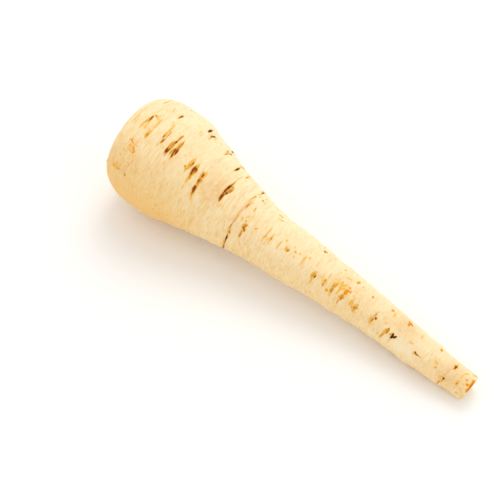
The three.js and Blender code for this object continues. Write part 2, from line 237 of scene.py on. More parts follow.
GOLD_MARKS = [
    (4.6, 13.5, 9.2, 38.5, 0.25), (5.2, 14, 7.4, 27.5, 0.25), (7.4, 14.5, 8.4, 24, 0.2),
    (8, -9.8, 8, -10.6, 0.45), (9.8, 38, 15.5, 49, 0.25), (13.4, -30.6, 23.5, -31.8, 1.1),
    (13.6, -2.4, 14.4, -3, 0.5), (15.5, 21, 14, 13.5, 0.8), (17.9, 31.2, 15.9, 21.8, 0.7),
    (18, -10.1, 20, -10.2, 0.35), (18.6, 46, 24, 54, 0.5), (19, 45.6, 27.2, 57.4, 0.25),
    (19.3, -4.6, 19.7, -5.4, 0.35), (19.6, 30, 18.6, 12, 0.4), (20.5, -21, 19.5, -22, 0.4),
    (20.8, -26, 21, -31, 0.5), (23, 35.3, 25.5, 35, 0.3), (23.5, 55, 33, 58.2, 0.25),
    (24, -12.6, 23.8, -13.8, 0.35), (25.4, 19.5, 24.8, 8, 0.85), (26, 44.6, 27.8, 42.6, 0.35),
    (26.6, -18.2, 25.4, -18.9, 0.45), (27.8, 33, 25.8, 19, 0.5), (28, -23.6, 29.6, -25.6, 0.4),
    (29, 55, 31, 56.5, 0.35), (29.6, 45.4, 29, 44.6, 0.4), (30.2, -21.4, 34.2, -26.2, 0.35),
    (31.2, 51, 31.7, 46.4, 0.4), (31.5, -12.5, 31.4, -13.5, 0.3), (36.6, -21, 35.6, -22.2, 0.35),
    (38, 34.4, 40, 33, 0.4), (38, 38.2, 42, 34.2, 0.4), (38, 47.5, 39.4, 47, 0.4),
    (38.9, 14, 38.5, 7.5, 0.35), (39.4, 27, 39, 17.5, 0.65), (40, -26.2, 41, -26.9, 0.4),
    (40.2, 34, 40, 26, 0.7), (42, 11.7, 46.4, 11.2, 0.45), (49.7, 23.5, 50.2, 4.5, 0.85),
    (54.4, 19, 53.9, 7.5, 0.35), (54.8, 34, 51.5, 16, 0.5), (56.2, 26.5, 56, 18, 0.35),
    (57, 8, 57.2, 3.5, 0.45), (58.4, -4.5, 57.8, -6, 0.4), (58.6, 30, 57.4, 5, 0.9),
    (66.5, 48, 66, 43.6, 0.35), (68.5, 19, 67.6, 18.4, 0.5), (69.5, 49, 68.5, 43, 0.3),
    (73.2, 10, 75, 9, 0.5), (77.8, 48.5, 76.6, 44.6, 0.5), (78, 21.5, 76.4, 4.5, 1.1),
    (82.6, 50.8, 82, 48.4, 0.45), (84.4, -3.5, 84.8, -11.5, 0.35), (84.7, 20.5, 84, -4.5, 1.05),
    (87.5, 48.9, 90.5, 48.8, 0.45), (95.2, 18.5, 94, -2, 1), (96, -7, 97.2, -14, 0.4),
    (103, 47, 97.8, 41.8, 0.75), (119.4, 41.5, 115, 33, 0.55), (124.5, 28, 121.5, 2, 0.75),
    (126.5, 36.5, 123, 23, 0.35), (126.6, 19, 123, 11, 0.7), (133, 40.5, 129.5, 35, 0.55),
    (136.3, 7, 135.9, 6, 0.4), (138, -10.6, 139, -12, 0.35), (138, 37, 138.8, 36.4, 0.4),
    (145.8, -8, 146.2, -17, 0.4), (145.8, 8, 145.6, -8, 0.35), (148.5, 26, 145.5, 18, 0.35),
    (148.8, -15, 153.6, -33.5, 0.45), (149.6, 22, 147.6, 12, 0.4), (151.8, 2, 151.2, 1.2, 0.5),
    (152.2, 33, 149.8, 30, 0.4), (153.4, 6, 153, 5.2, 0.35), (153.5, 30.5, 152, 28.5, 0.35),
    (155, 7.5, 155, 5.6, 0.3), (157.6, 0, 159, -16.5, 0.65), (159.3, 13.5, 158.5, 4, 0.3),
    (160, 32.2, 158.3, 31, 0.4), (160.6, 28, 159.8, 26.8, 0.55), (168.3, 2.6, 167.8, 0.8, 0.6),
    (173, 30.5, 175, 30, 0.35), (178.5, 27, 183, 26.6, 0.75), (181, 12, 180, -6, 0.4),
    (181.5, 23.2, 186.5, 24.2, 0.6), (183, 2, 183.2, -7, 0.3), (186, 10, 186.6, -5.5, 0.4),
    (194.5, 28.6, 197, 29.8, 0.4), (196, 6.5, 195.8, -5.5, 0.5), (199, 10.5, 202, 10.6, 0.3),
    (204, 5.5, 207, 1, 0.9), (208.7, -8.4, 208.3, -9.6, 0.5), (210.5, 10.5, 212, 9, 0.35),
    (214, 6.9, 213.4, 5.8, 0.9), (215.2, 2.2, 214.4, 1.2, 0.5), (218.5, 8.2, 217.9, 7.2, 0.6),
    (223.8, -1, 226, -2, 0.4), (224.9, 10, 224.6, -3, 0.4), (229.2, 10.6, 228.6, 9.6, 0.55),
    (234.5, 27, 236.5, 29.5, 0.45), (235, 27.8, 235.8, 29.4, 0.45), (242.3, 3, 242.4, -6, 1.1),
    (242.7, -5, 243, -11, 0.35), (243.6, 10, 242.6, 3, 0.25), (251.3, 6, 251.5, -3, 0.25),
    (254.8, 3, 255.4, -5.5, 0.8), (255.8, 11, 255.8, 3, 0.25), (261.5, 9, 260.2, -3, 0.2),
    (262.4, 17.2, 263, 17.8, 0.35), (263.4, 6, 266.4, -8.5, 0.85), (263.5, 9.4, 263.5, 8.6, 0.35),
    (265.5, 11.5, 265.5, 6, 0.25), (265.6, 22, 264.2, 21.6, 0.6), (267.7, 7, 268.3, 6.4, 0.5),
    (270, 5, 273.5, 4.6, 0.8), (270, 10.5, 269.7, 9.8, 0.4), (270.5, 17, 275, 17.4, 0.5),
    (271, -1.2, 271.4, -2, 0.35), (272, 9.4, 274, 8.2, 0.55), (272.4, 1.6, 270.5, 2.3, 0.5),
    (275.4, 11, 275.6, 10, 0.55), (276.6, -5, 277.6, -11, 0.5), (276.6, 1, 275.6, -5.4, 0.6),
    (286.6, 6.4, 286.4, 5.4, 0.45), (288.3, 1.4, 289.4, -4, 0.9), (288.4, 6.6, 289, 2, 0.35),
    (289, 18.4, 290, 18.8, 0.55), (290.2, -0.6, 291.8, -6, 0.6), (295, 1.6, 295.5, -8.4, 0.95),
    (312.9, -0.6, 312.6, -3.4, 0.5), (315.6, -0.5, 315, -7, 0.65), (315.8, 9, 315.9, 5, 0.25),
    (327.5, -9.4, 328.6, -10.8, 0.4), (328.4, 4, 328.8, 3, 0.5), (330.7, 13.2, 331, 17.8, 0.45),
    (332.2, -9, 331.4, -12.4, 0.5), (334.2, -0.6, 332.2, -7, 1), (338.5, -5, 338.5, -6, 0.4),
    (340.6, -6, 340.8, -12.6, 0.35), (359.4, 3.4, 359.4, 1.6, 0.45), (360, 2.6, 363, 3, 0.3),
    (366.4, 12.2, 366, 15.6, 0.55), (368.4, -1.6, 369.4, -6, 0.5), (388.2, 6.4, 387.8, 5.6, 0.4),
    (390, 2.2, 396, 1.5, 0.35), (404.6, -6.2, 404.1, -9, 0.5), (406.6, -3, 407, -4.2, 0.4),
    (411.6, 13.6, 411, 5.6, 0.65), (421.4, 0.4, 421, -1.6, 0.45), (421.4, 9, 421.4, 3.6, 0.2),
    (422, 9.8, 425.8, 11.6, 0.4), (426.9, -9.8, 426.1, -11.4, 0.65), (427.3, 0.4, 426.5, 0, 0.5),
    (428.6, 6, 427.3, 5.2, 0.7), (431.6, -6.4, 431.4, -7, 0.35), (433.6, 14.6, 429, 13, 0.45),
]
ORANGE_MARKS = [
    (15, 0.8, 15, -0.8, 0.5), (16.4, -5.5, 16.2, -7.8, 0.35), (17, -2.3, 18.2, -2.4, 0.4),
    (20.8, 33, 19.5, 33, 0.45), (21, 32.8, 25.2, 32.2, 0.35), (22.3, -7, 19.8, -7, 0.45),
    (24.2, -8.5, 23.6, -11, 0.5), (24.3, 11, 23.8, 8.6, 0.55), (42.2, 11.7, 44.5, 11.4, 0.25),
    (74, 54, 75.3, 54.8, 0.3), (75.7, 8.4, 76.6, 7.6, 0.5), (83.4, 6.3, 83.2, 4.6, 0.45),
    (84.9, 4, 84.3, 3.2, 0.4), (95.2, 3, 94.9, 1.6, 0.5), (131, 38.2, 130.4, 37.2, 0.4),
    (155.4, 2.4, 155, 1.8, 0.3), (157.2, 28.8, 156.7, 27.7, 0.3), (168.4, 2.4, 167.9, 1, 0.35),
    (186.2, 3.6, 186, 1.6, 0.4), (214, 6.7, 213.6, 6, 0.3), (236.6, 25, 239.6, 24.6, 0.65),
    (254.5, 1.9, 254.6, 0.6, 0.55), (261, -5, 260.9, -6, 0.7), (265.9, 5.7, 266.6, 3.7, 0.45),
    (276, -2.6, 275.2, -3.4, 0.4), (277.2, 0, 276.4, -1, 0.45), (278.9, 7.2, 278, 1, 0.8),
    (279.4, 10.6, 278.6, 9.7, 0.45), (280, 7, 282.5, 6.6, 0.35), (282, 8.4, 282, 7.6, 0.3),
    (282.2, 18.4, 283.2, 21.2, 0.55), (326.4, 17.2, 327.2, 18.2, 0.6), (347.4, 17.2, 348.8, 17.9, 0.85),
    (389.2, 14.1, 390.2, 15.4, 0.65), (421.8, -1.4, 423, -2, 0.35), (433, 2.8, 429.2, 2.2, 0.45),
    (433.4, 14.6, 431.6, 14, 0.3), (433.6, 10, 434.6, 5.6, 0.65), (434.6, 5, 434.8, 0, 0.55),
    (434.8, -0.4, 434, -4.4, 0.5),
]
MARK_TABLES = {"black": BLACK_MARKS, "brown": BROWN_MARKS, "rust": RUST_MARKS, "gold": GOLD_MARKS,
               "orange": ORANGE_MARKS}
MARK_REACH = 2.5
MARK_TAPER = 0.35
LENS_POWER = 0.75
# What each tint is ringed with, and how much wider. Strokes under the full half width have less of a ring.
RINGS = {
    "black": (("gold", 0.35),),
    "brown": (("rust", 0.2), ("gold", 0.45)),
    "rust": (("gold", 0.25),),
    "gold": (),
    "orange": (("gold", 0.3),),
}
FULL_RING_WIDTH = 0.5

# Soft regions of the skin: station, degree, half length, half span, strength.
REGIONS = {
    "freckle": [
        (14.5, 127, 5, 9, 1.0),
        (18.5, 144, 9, 7, 0.6),
        (40, 146, 5, 8, 0.5),
        (216, 118, 5, 70, 0.4),
    ],
    "cloud": [
        (142, 108, 3.2, 15, 1.1),
        (151, 106, 3, 13, 0.5),
        (143, 77, 3, 12, 0.4),
        (15, 127, 6, 12, 0.3),
        (40, 146, 7, 10, 0.35),
        (32, 159, 6, 9, 0.35),
        (46, 184, 14, 16, 0.6),
        (216, 118, 5, 80, 0.45),
        (8, 75, 8, 30, 0.3),
    ],
    "smudge": [
        (12.5, 156, 4, 5, 0.7),
        (64, 112, 3, 12, 0.25),
        (79, 120, 4, 40, 0.2),
        (208, 150, 4, 25, 0.3),
        (163.5, 135, 3, 20, 0.4),
    ],
    "tan": [
        (61, 108, 5, 22, 0.6),
        (178, 85, 9, 35, 0.6),
        (212, 120, 8, 60, 0.45),
    ],
    "pale": [
        # Painted light: this first region lightens the lower half of the flank.
        (182, 150, 13, 30, 0.7),
        (104, 128, 8, 14, 0.4),
        (132, 92, 4, 16, 0.4),
    ],
}
# Stubs of rootlets: station, degree, radius, height and how brown the top is. The ring round a stub is given
# in its radii: place and half width.
STUBS = [
    (2.5, 172, 0.7, 0.6, 0.2),
    (48, 110, 0.8, 0.4, 0.0),
    (68, 90, 0.9, 0.4, 0.7),
    (165, 124, 0.6, 0.4, 1.0),
]
STUB_REACH = 3
STUB_RING = (1.5, 0.5)
STUB_RING_SHARE = 0.5

# Fine scratches round the root, at drawn places. They gather in some stretches: station and half length.
SCRATCH_SEED = 11
SCRATCH_COUNT = 1500
SCRATCH_STATIONS = (4, 218)
SCRATCH_GATHERINGS = ((70, 18), (140, 20), (10, 10))
SCRATCH_HALF_SPAN = (4, 22)
SCRATCH_DEPTH = (0.02, 0.07)
SCRATCH_DEEPENING = 0.8
SCRATCH_LEAST_TINT = 0.25
SCRATCH_HALF_WIDTH = (0.3, 0.55)
SCRATCH_REACH = 3

# ---------------------------------------------------------------- skin mesh
COLUMNS = 180
CROWN_ROWS = 40
SHOULDER_ROWS = 34
FLANK_ROWS = 452
EDGE_ROWS = 3
CUT_ROWS = 9
# The crown's rows crowd a little towards its rim.
CROWN_CROWDING = 0.9
# How wide a scar's core is here, as a share of its width in the solid.
FINE_CUT_SHARE = 0.55

# The underside gets painted shade, a warmer and deeper tint, full near the crown and fading to a least share
# away from it, and the upper side painted light, a paler tint: the degree that each faces, and the stations
# between which the underside's painted shade fades.
UNDER_SHADE_DEGREE = 200
UNDER_SHADE_FADE = (42, 72)
UNDER_SHADE_LEAST = 0.2
PAINTED_LIGHT_DEGREE = 45

# The crown's disc turns to cork inside a radius, and its hollows are dark: radius and half width of each.
CORK_RADIUS = 15.8
CORK_FADE = 2.5
STALK_HOLLOWS = ((0, 1.4), (4.4, 0.7), (9.6, 0.7), (14.8, 0.9))
HOLLOW_DRIFT = 0.6
# The cut face at the tip, in shares of its radius: half width of the core, place and half width of the ring
# round it, and where the darker rim begins.
CUT_CORE = 0.22
CUT_RING = (0.62, 0.08)
CUT_RIM = 0.86

SKIN, CROWN_KIND, CUT_KIND = 0, 1, 2


def mulberry(seed):
    """The same draws as the part's source, for the scars of the far side."""
    mask = 0xFFFFFFFF
    state = seed

    def draw():
        nonlocal state
        state = (state + 0x6D2B79F5) & mask
        mixed = ((state ^ (state >> 15)) * (1 | state)) & mask
        mixed = ((mixed + (((mixed ^ (mixed >> 7)) * (61 | mixed)) & mask)) & mask) ^ mixed
        return (mixed ^ (mixed >> 14)) / 2**32

    return draw


def spline_at(table, column, x):
    """Smooth curve through a table's rows, read at an array of stations."""
    stations = table[:, 0]
    values = table[:, column]
    slopes = np.empty_like(values)
    slopes[1:-1] = (values[2:] - values[:-2]) / (stations[2:] - stations[:-2])
    slopes[0] = (values[1] - values[0]) / (stations[1] - stations[0])
    slopes[-1] = (values[-1] - values[-2]) / (stations[-1] - stations[-2])
    at = np.clip(x, stations[0], stations[-1])
    i = np.clip(np.searchsorted(stations, at, side="left") - 1, 0, len(stations) - 2)
    step = stations[i + 1] - stations[i]
    t = (at - stations[i]) / step
    return ((2 * t**3 - 3 * t**2 + 1) * values[i] + (t**3 - 2 * t**2 + t) * step * slopes[i]
            + (3 * t**2 - 2 * t**3) * values[i + 1] + (t**3 - t**2) * step * slopes[i + 1])


def far_scars():
    draw = mulberry(FAR_SEED)

    def between(pair):
        return pair[0] + (pair[1] - pair[0]) * draw()

    scars = []
    for degree in FAR_ROWS:
        station = FAR_ROW_FIRST + between(FAR_ROW_GAP)
        while station < FAR_ROW_LAST:
            middle = degree + between((-FAR_DRIFT, FAR_DRIFT))
            half = between(FAR_SPAN) / 2
            depth = between(FAR_DEPTH)
            scars.append((station, middle - half, station, middle + half, depth, FAR_HALF_WIDTH))
            station += between(FAR_ROW_GAP)
    return scars


def turned(degree, middle):
    """Signed angle from a middle, in degrees."""
    return (degree - middle + 180) % 360 - 180


def facing(degree, middle):
    """How squarely the skin at a degree faces a direction: 1 at the middle, 0 a quarter turn away."""
    return np.clip(np.cos(np.radians(degree - middle)), 0, 1)


def outline():
    """Rows from the crown's middle to the middle of the cut: station, radius, kind."""
    along = np.linspace(0, 1, CROWN_ROWS, endpoint=False) ** CROWN_CROWDING * RIM_RADIUS
    crown_station = np.interp(along, CROWN[:, 1], CROWN[:, 0])
    turn = np.arange(SHOULDER_ROWS) / SHOULDER_ROWS * (math.pi / 2)
    power = 2 / SHOULDER_EXPONENT
    shoulder_station = SHOULDER_STATION * (1 - np.cos(turn) ** power)
    shoulder_radius = RIM_RADIUS + (FLANK[0, 1] - RIM_RADIUS) * np.sin(turn) ** power
    flank_station = np.linspace(SHOULDER_STATION, TIP_STATION - TIP_EDGE_ROUND, FLANK_ROWS)
    flank_radius = spline_at(FLANK, 1, flank_station)
    edge = flank_radius[-1] - TIP_EDGE_ROUND
    bend = np.arange(1, EDGE_ROWS + 1) / EDGE_ROWS * (math.pi / 2)
    edge_station = TIP_STATION - TIP_EDGE_ROUND * (1 - np.sin(bend))
    edge_radius = edge + TIP_EDGE_ROUND * np.cos(bend)
    cut_radius = np.linspace(edge, 0, CUT_ROWS + 1)[1:]
    station = np.concatenate([crown_station, shoulder_station, flank_station, edge_station,
                              np.full(CUT_ROWS, TIP_STATION)])
    radius = np.concatenate([along, shoulder_radius, flank_radius, edge_radius, cut_radius])
    kind = np.concatenate([np.full(CROWN_ROWS, CROWN_KIND), np.full(SHOULDER_ROWS + FLANK_ROWS, SKIN),
                           np.full(EDGE_ROWS + CUT_ROWS, CUT_KIND)])
    return station, radius, kind


def groove_height(scar, station, degree):
    """Height of one carved line with its raised lips, on a grid of stations and degrees."""
    s0, d0, s1, d1, depth, half_width = scar
    half_span = max(abs(d1 - d0) / 2, LEAST_HALF_SPAN)
    along = turned(degree, (d0 + d1) / 2) / half_span
    line = (s0 + s1) / 2 + (s1 - s0) / 2 * along * np.sign(d1 - d0)
    lens = np.clip(1 - along**2, 0, 1)
    width = half_width * (1 + lens) / 2
    across = (station - line) / width
    cut = bell(across / FINE_CUT_SHARE)
    lip = LIP_SHARE * bell(across / LIP_WIDENING)
    return depth * np.sqrt(lens) * (lip - cut)


def bell(x):
    return np.exp(-(x**2))


def relief(station, degree):
    """Height of the skin over the plain form, as the part's source has it."""
    a = np.radians(degree)
    folded = sum(bell((station - middle) / half_length) for middle, half_length in FOLDS)
    top = facing(degree, WRINKLE_TOP_DEGREE)
    share = WRINKLE_LEAST_SHARE + (1 - WRINKLE_LEAST_SHARE) * top
    turn = WRINKLE_BEND * np.sin(a + WRINKLE_BEND_TURN) + np.sin(2 * a)
    wrinkle = share * (WRINKLE_HEIGHT + FOLD_HEIGHT * folded) * np.sin(station * WRINKLE_WAVE + turn)
    swell = SWELL_HEIGHT * np.sin(station * SWELL_WAVE + SWELL_BEND * np.sin(a + SWELL_BEND_TURN))
    swell *= np.sin(2 * a + station * SWELL_TWIST)
    ring = RING_HEIGHT * np.sin(station * RING_WAVE + RING_BEND * np.sin(a + RING_BEND_TURN))
    height = wrinkle + swell + ring
    for at, middle, half_length, half_span, rise in BULGES:
        height += rise * bell((station - at) / half_length) * bell(turned(degree, middle) / half_span)
    for scar in SCARS + FURROWS + far_scars():
        height += groove_height(scar, station, degree)
    return height


class Skin:
    """The grid of the skin: rows along the root, columns round it, and what is known at each point."""

    def __init__(self):
        self.station, self.radius, self.kind = outline()
        self.degree = np.arange(COLUMNS) * 360 / COLUMNS
        steps = np.hypot(np.diff(self.station), np.diff(self.radius))
        self.path = np.concatenate([[0], np.cumsum(steps)])
        shape = (len(self.station), COLUMNS)
        self.height = np.zeros(shape)
        self.line = np.zeros(shape)
        self.stub_top = np.zeros(shape)
        self.marks = {tint: np.full(shape, -MARK_REACH) for tint in MARK_TABLES}

    def path_at(self, station):
        """Distance along the surface from the crown's middle to a station of the skin."""
        first = CROWN_ROWS
        last = CROWN_ROWS + SHOULDER_ROWS + FLANK_ROWS
        return np.interp(station, self.station[first:last], self.path[first:last])

    def window(self, low, high, middle, half_span):
        """Rows between two path distances, and columns within a half span of a degree."""
        rows = np.arange(*np.searchsorted(self.path, [low, high]))
        off = turned(self.degree, middle)
        columns = np.nonzero(np.abs(off) <= half_span)[0]
        return rows, columns, off[columns]

    def stroke(self, station, degree, half_span, depth, half_width, colour):
        """A short fine line across the root, cut into the skin and tinted."""
        centre = float(self.path_at(station))
        reach = SCRATCH_REACH * half_width
        rows, columns, off = self.window(centre - reach, centre + reach, degree, half_span)
        across = np.exp(-(((self.path[rows] - centre) / half_width) ** 2))
        lens = 1 - (off / half_span) ** 2
        patch = across[:, None] * lens[None, :]
        grid = np.ix_(rows, columns)
        self.height[grid] -= depth * patch
        self.line[grid] = np.maximum(self.line[grid], colour * patch)

    def arc_at(self, path):
        """Length of one degree round the skin, in millimetres, at a distance along the surface."""
        return math.radians(1) * float(np.interp(path, self.path, self.radius))

    def mark(self, tint, s0, d0, s1, d1, half_width):
        """Raises a tint's field to the signed distance, in millimetres, inside one tapering stroke."""
        first, last = float(self.path_at(s0)), float(self.path_at(s1))
        centre, middle = (first + last) / 2, d0 + turned(d1, d0) / 2
        arc = self.arc_at(centre)
        rise, run = last - first, turned(d1, d0) * arc
        length = math.hypot(rise, run)
        half = (length + half_width) / 2
        reach = half + MARK_REACH
        rows, columns, off = self.window(centre - reach, centre + reach, middle, reach / arc)
        x, y = self.path[rows][:, None] - centre, off[None, :] * arc
        along = (x * rise + y * run) / (length * half)
        across = (x * run - y * rise) / length
        width = half_width * np.clip(1 - along**2, 0, 1) ** LENS_POWER * (1 - MARK_TAPER * along)
        beyond = half * np.maximum(np.abs(along) - 1, 0)
        grid = np.ix_(rows, columns)
        self.marks[tint][grid] = np.maximum(self.marks[tint][grid], width - np.hypot(across, beyond))

    def ringed_mark(self, tint, s0, d0, s1, d1, half_width):
        """A stroke of one tint with its paler rings."""
        self.mark(tint, s0, d0, s1, d1, half_width)
        share = min(1, half_width / FULL_RING_WIDTH)
        for ring, widening in RINGS[tint]:
            self.mark(ring, s0, d0, s1, d1, half_width + widening * share)

    def stub(self, station, degree, radius, rise, browning):
        """A rootlet's stub: a low round boss in a shallow ring."""
        centre = float(self.path_at(station))
        arc = self.arc_at(centre)
        reach = STUB_REACH * radius
        rows, columns, off = self.window(centre - reach, centre + reach, degree, reach / arc)
        far = np.hypot(self.path[rows][:, None] - centre, off[None, :] * arc) / radius
        top = bell(far**2)
        ring_at, ring_half_width = STUB_RING
        ring = STUB_RING_SHARE * bell((far - ring_at) / ring_half_width)
        grid = np.ix_(rows, columns)
        self.height[grid] += rise * (top - ring)
        self.stub_top[grid] = np.maximum(self.stub_top[grid], browning * top)

    def points(self):
        """Every point of the grid, in millimetres, with the root's axis along x."""
        a = np.radians(self.degree)[None, :]
        station = self.station[:, None]
        x = np.broadcast_to(station, self.height.shape).copy()
        r = self.radius[:, None] * (1 + OVAL_SHARE * np.sin(2 * (a - math.radians(OVAL_DEGREE))))
        along = np.gradient(self.station)
        away = np.gradient(self.radius)
        length = np.hypot(along, away)
        skin = (self.kind == SKIN)[:, None]
        x += np.where(skin, self.height * (-away / length)[:, None], 0)
        r = r + np.where(skin, self.height * (along / length)[:, None], 0)
        radius = self.radius[:, None]
        lumps = STALK_LUMP_HEIGHT * (radius / RIM_RADIUS) * np.sin(STALK_LUMPS * a + radius)
        x -= np.where((self.kind == CROWN_KIND)[:, None], lumps - self.height, 0)
        x += np.where((self.kind == CUT_KIND)[:, None], self.height, 0)
        slant = np.clip((station - TIP_CUT_START) / (TIP_STATION - TIP_CUT_START), 0, 1) ** 2
        x -= TIP_CUT_SLANT * slant * r * np.cos(a - math.radians(TIP_CUT_DEGREE))
        offset = spline_at(FLANK, 2, self.station)[:, None]
        return np.stack([x, offset + r * np.cos(a), r * np.sin(a)], axis=-1)


def resting_pitch(points):
    """The pitch at which the shoulder and the tip touch the floor together."""
    flat = points.reshape(-1, 3)
    front = flat[:, 0] >= TIP_STATION / 2
    low, high = 0.0, math.radians(STEEPEST_PITCH)
    for _ in range(PITCH_HALVINGS):
        pitch = (low + high) / 2
        z = flat[:, 2] * math.cos(pitch) - flat[:, 0] * math.sin(pitch)
        if z[front].min() < z[~front].min():
            high = pitch
        else:
            low = pitch
    return (low + high) / 2


def lay_down(points):
    """Pitches the root, flattens what would sink into the floor, and centres it as the solid is."""
    pitch = resting_pitch(points)
    c, s = math.cos(pitch), math.sin(pitch)
    x, y, z = points[..., 0], points[..., 1], points[..., 2]
    laid = np.stack([x * c + z * s, y, z * c - x * s], axis=-1)
    laid[..., 2] = np.maximum(0, laid[..., 2] - laid[..., 2].min() - FLOOR_SINK)
    low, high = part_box("parsnip_root")
    middle = [(low[k] + high[k]) / 2 / MM for k in (0, 1)]
    for k in (0, 1):
        laid[..., k] += middle[k] - (laid[..., k].min() + laid[..., k].max()) / 2
    return laid


class Sight:
    """What the camera sees of the skin, to find the station and degree at a place of the photograph."""

    def __init__(self, skin):
        self.skin = skin
        laid = lay_down(skin.points()) * MM
        back = np.array(direction(CAMERA_AZIMUTH, CAMERA_ELEVATION))
        right = np.array(direction(CAMERA_AZIMUTH + 90, 0))
        away = laid - (np.array(CAMERA_AIM) + back * CAMERA_DISTANCE)
        scale = CAMERA_LENS / CAMERA_SENSOR * PICTURE_SIZE / -(away @ back)
        x = PICTURE_SIZE / 2 + (away @ right) * scale - LINE_FROM[0]
        y = PICTURE_SIZE / 2 - (away @ np.cross(back, right)) * scale - LINE_FROM[1]
        run, fall = np.subtract(LINE_TO, LINE_FROM) / math.dist(LINE_FROM, LINE_TO)
        self.along = x * run + y * fall
        self.across = x * fall - y * run
        round_it = np.roll(laid, -1, axis=1) - np.roll(laid, 1, axis=1)
        normal = np.cross(round_it, np.gradient(laid, axis=0))
        self.seen = ((normal * away).sum(axis=-1) < 0) & (skin.kind == SKIN)[:, None]
        # The first row of the skin faces partly as the crown does, so it doesn't count as seen.
        self.seen[CROWN_ROWS] = False

    def place(self, along, across):
        """Station and degree of the skin seen at a place of the photograph."""
        far = np.where(self.seen, np.hypot(self.along - along, self.across - across), np.inf)
        i, j = np.unravel_index(np.argmin(far), far.shape)
        k = (j + 1) % COLUMNS
        slopes = [[grid[i + 1, j] - grid[i - 1, j], grid[i, k] - grid[i, j - 1]]
                  for grid in (self.along, self.across)]
        missed = along - self.along[i, j], across - self.across[i, j]
        rows, columns = np.clip(2 * np.linalg.solve(slopes, missed), -1, 1)
        station = np.interp(i + rows, np.arange(len(self.skin.station)), self.skin.station)
        return station, self.skin.degree[j] + columns * 360 / COLUMNS


def grown_skin():
    """The skin with its relief, scratches, marks and stubs."""
    skin = Skin()
    station, degree = skin.station[:, None], skin.degree[None, :]
    rows = skin.kind == SKIN
    skin.height[rows] = relief(station[rows], degree)
    sight = Sight(skin)
    draw = np.random.default_rng(SCRATCH_SEED)
    for _ in range(SCRATCH_COUNT):
        scratch(skin, draw)
    for tint, strokes in MARK_TABLES.items():
        for along, across, faded_along, faded_across, half_width in strokes:
            broad = sight.place(along, across)
            faded = sight.place(faded_along, faded_across)
            skin.ringed_mark(tint, *broad, *faded, half_width)
    for scar in far_scars():
        mark_far_scar(skin, draw, *scar[:5])
    for stub in STUBS:
        skin.stub(*stub)
    return skin


def scratch(skin, draw):
    """One fine scratch at a drawn place, deeper and darker where the scratches gather."""
    at = draw.uniform(*SCRATCH_STATIONS)
    gather = sum(math.exp(-((at - middle) / half_length) ** 2) for middle, half_length in SCRATCH_GATHERINGS)
    half_span = draw.uniform(*SCRATCH_HALF_SPAN)
    depth = draw.uniform(*SCRATCH_DEPTH) * (1 + SCRATCH_DEEPENING * gather)
    share = min(1, SCRATCH_LEAST_TINT + (1 - SCRATCH_LEAST_TINT) * gather)
    tint = draw.uniform(0, 1) ** 2 * share
    degree = draw.uniform(0, 360)
    half_width = draw.uniform(*SCRATCH_HALF_WIDTH)
    skin.stroke(at, degree, half_span, depth, half_width, tint)


def mark_far_scar(skin, draw, s0, d0, s1, d1, depth):
    """A scar's tints on the hidden side: pale whole, rusty inside, dark at one end."""
    if draw.random() < FAR_TURNED_SHARE:
        d0, d1 = d1, d0
    slant = draw.uniform(-FAR_SLANT, FAR_SLANT)
    for tint, first, last, slant_share, half_width, widening, least_depth in FAR_TINTS:
        if depth > least_depth:
            begin, end = (d0 + (d1 - d0) * share for share in (first, last))
            slanted = s1 + slant * slant_share
            skin.ringed_mark(tint, s0 - slant, begin, slanted, end, half_width + widening * depth)


def spread(regions, station, degree):
    """Strength of soft round regions on a grid of stations and degrees."""
    total = 0
    for at, middle, half_length, half_span, strength in regions:
        along = bell((station - at) / half_length)
        total = total + strength * along * bell(turned(degree, middle) / half_span)
    return total


def float_attribute(mesh, name, values):
    mesh.attributes.new(name, "FLOAT", "POINT").data.foreach_set("value", values.astype(np.float32))


def vector_attribute(mesh, name, values):
    layer = mesh.attributes.new(name, "FLOAT_VECTOR", "POINT")
    layer.data.foreach_set("vector", values.astype(np.float32).ravel())


def collapse(values):
    """A grid's values as a list, with one value for the whole of the first row and one for the last."""
    inner = values[1:-1].reshape(-1, *values.shape[2:])
    return np.concatenate([values[0, :1], inner, values[-1, :1]])


def grid_mesh(name, points):
    """A closed mesh from rows of points. All points of the first row are one, and so are the last row's."""
    rows, columns, _ = points.shape
    last = (rows - 3) * columns + 1
    end = last + columns
    faces = []
    for j in range(columns):
        k = (j + 1) % columns
        faces.append((0, 1 + k, 1 + j))
        for a in range(1, last, columns):
            faces.append((a + j, a + k, a + k + columns, a + j + columns))
        faces.append((last + j, last + k, end))
    mesh = bpy.data.meshes.new(name)
    mesh.from_pydata(collapse(points).tolist(), [], faces)
    mesh.update()
    return mesh


# ---------------------------------------------------------------- materials
def linear(r, g, b):
    """A colour of 0 to 255 as the shader needs it, by the sRGB curve."""
    def bare(c):
        return c / 255 / 12.92 if c <= 10 else ((c / 255 + 0.055) / 1.055) ** 2.4

    return bare(r), bare(g), bare(b), 1.0


